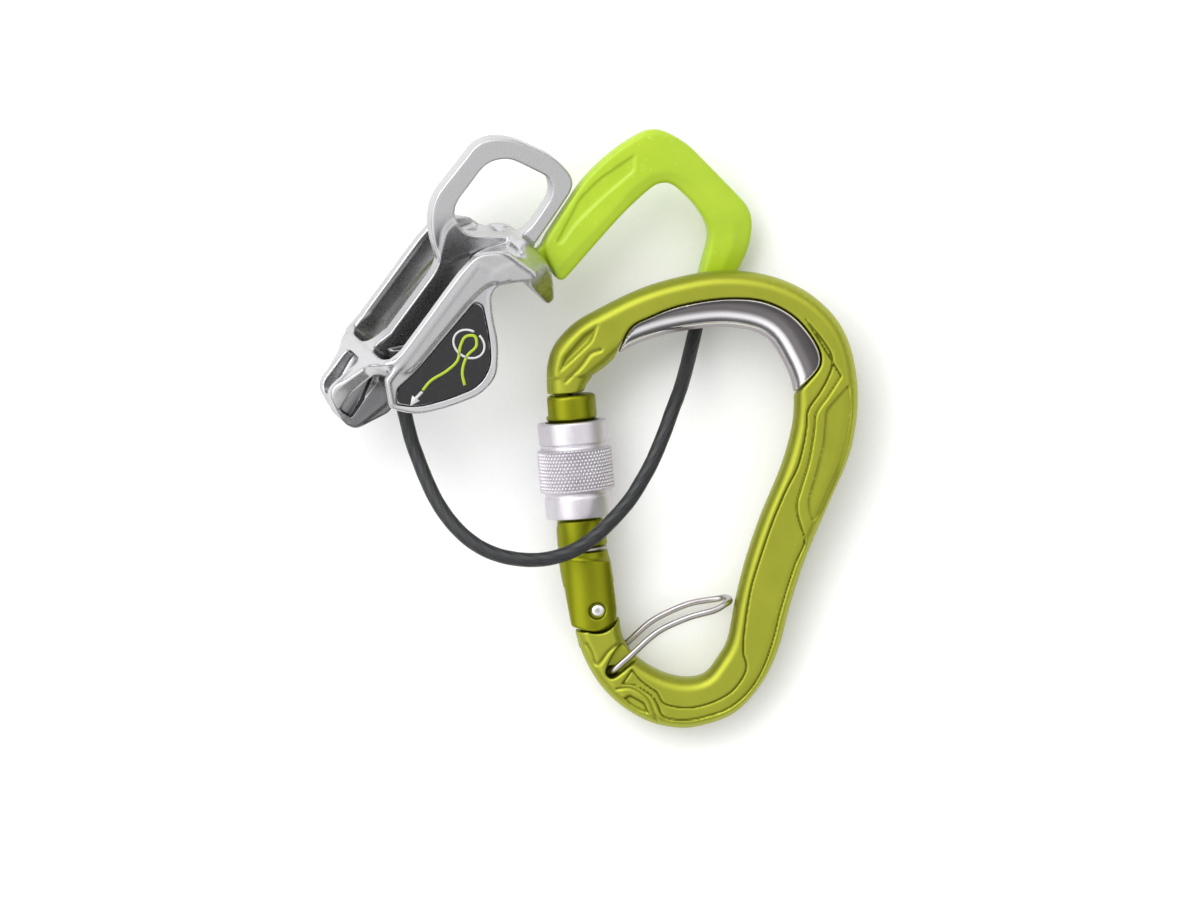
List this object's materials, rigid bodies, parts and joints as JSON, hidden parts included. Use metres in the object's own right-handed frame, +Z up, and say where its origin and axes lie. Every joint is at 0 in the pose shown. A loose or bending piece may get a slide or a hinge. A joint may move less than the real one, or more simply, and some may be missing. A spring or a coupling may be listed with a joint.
{
  "type": "rope descender",
  "caption": "Tube-style belay and rappel descender with two rope slots, guide eye, thumb handle and keeper cable, clipped in a screw-gate locking carabiner with a keeper wire.",
  "frame": {"origin": "bottom centre of the object's box, on the surface that the kit lies on", "axes": "+X to the right with the carabiner's spine, +Y from the carabiner's small end to its bow, +Z up out of the surface"},
  "size_m": [0.1342, 0.1502, 0.0403],
  "materials": {
    "cast_steel": "vibration-polished stainless casting",
    "label": "matt charcoal inlay",
    "lime_plastic": "semi-gloss moulded nylon",
    "coated_cable": "black coating drawn over a twisted steel cable",
    "anodised_frame": "satin lime-olive anodising",
    "anodised_gate": "satin olive anodising",
    "anodised_sleeve": "matt lilac-grey anodising, knurled band",
    "polished_insert": "polished stainless",
    "wire_steel": "drawn stainless wire",
    "pin_steel": "turned stainless"
  },
  "bodies": {
    "descender": {"descender_body": "cast_steel", "label_plate_near": "label", "label_plate_far": "label", "thumb_handle": "lime_plastic", "handle_core": "wire_steel", "handle_pin": "pin_steel", "cable_ferrule_body": "pin_steel", "cable_ferrule_handle": "pin_steel", "cable_anchor_pin": "pin_steel", "keeper_cable": "coated_cable"},
    "carabiner": {"carabiner_frame": "anodised_frame", "bow_wear_insert": "polished_insert", "gate_rivet": "polished_insert"},
    "gate": {"gate_body": "anodised_gate", "gate_spring": "wire_steel", "sleeve_stop_ring": "wire_steel"},
    "plunger": {"gate_plunger": "pin_steel"},
    "sleeve_thread": {"sleeve_thread_bush": "pin_steel"},
    "sleeve": {"screw_sleeve": "anodised_sleeve"},
    "keeper": {"keeper_wire": "wire_steel"}
  },
  "joints": [
    {"name": "carabiner_swing", "type": "hinge", "parent": "descender", "child": "carabiner", "pos_m": [0.02, 0.002, 0.01], "axis": [0, 0, 1], "range_deg": [-5, 5]},
    {"name": "gate_pivot", "type": "hinge", "parent": "carabiner", "child": "gate", "pos_m": [0.00174, -0.04525, 0.00814], "axis": [0, 0.0767, -0.9971], "range_deg": [0, 22], "stiffness_Nm_per_rad": 0.3, "springref_deg": -17.19, "deforming": ["keeper_cable"]},
    {"name": "plunger_slide", "type": "slide", "parent": "gate", "child": "plunger", "axis": [-0.0819, 0.9937, 0.0765], "range_m": [0, 0.001]},
    {"name": "sleeve_travel", "type": "slide", "parent": "gate", "child": "sleeve_thread", "axis": [-0.0819, 0.9937, 0.0765], "range_m": [0, 0.01]},
    {"name": "sleeve_turn", "type": "hinge", "parent": "sleeve_thread", "child": "sleeve", "pos_m": [-0.00352, -0.01067, 0.0108], "axis": [-0.0819, 0.9937, 0.0765], "range_deg": [0, 720.1]},
    {"name": "keeper_pivot", "type": "hinge", "parent": "carabiner", "child": "keeper", "pos_m": [0.00474, -0.05961, 0.00704], "axis": [0, -0.0767, 0.9971], "range_deg": [0, 20], "stiffness_Nm_per_rad": 0.1, "springref_deg": -11.46}
  ],
  "couplings": [
    {"joint": "plunger_slide", "follows": "gate_pivot", "m_per_rad": 0.0026},
    {"joint": "sleeve_turn", "follows": "sleeve_travel", "rad_per_m": 1256.6}
  ]
}
